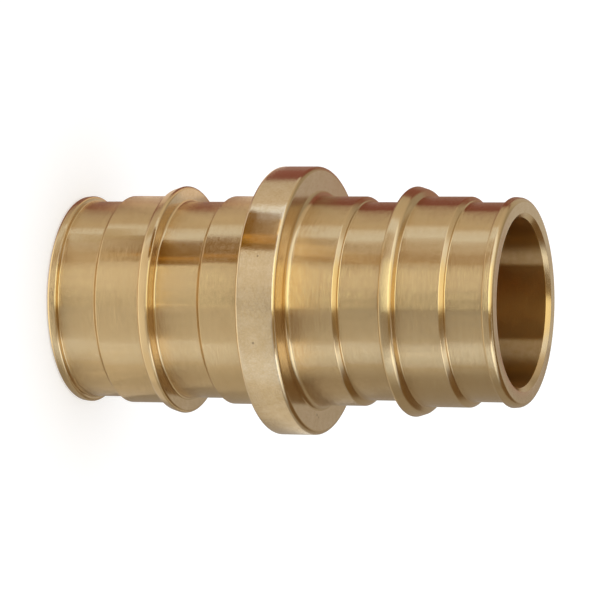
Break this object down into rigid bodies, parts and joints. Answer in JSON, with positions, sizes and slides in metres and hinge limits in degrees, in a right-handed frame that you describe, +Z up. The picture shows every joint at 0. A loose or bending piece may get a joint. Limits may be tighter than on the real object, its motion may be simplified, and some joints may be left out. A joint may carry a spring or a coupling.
{
  "type": "pipe coupling",
  "caption": "Straight one-piece brass coupling with equal ribbed spigots on both sides of a round stop collar, joined by a plain through bore.",
  "frame": {"origin": "centre of the lower end face, where the coupling stands", "axes": "+Z up along the waterway, towards the other end face; the part is round about Z and mirrored about the middle of the collar"},
  "size_m": [0.031, 0.031, 0.054],
  "materials": {
    "brass": "satin, as turned"
  },
  "bodies": {
    "root": {"coupling_body": "brass"}
  },
  "joints": []
}
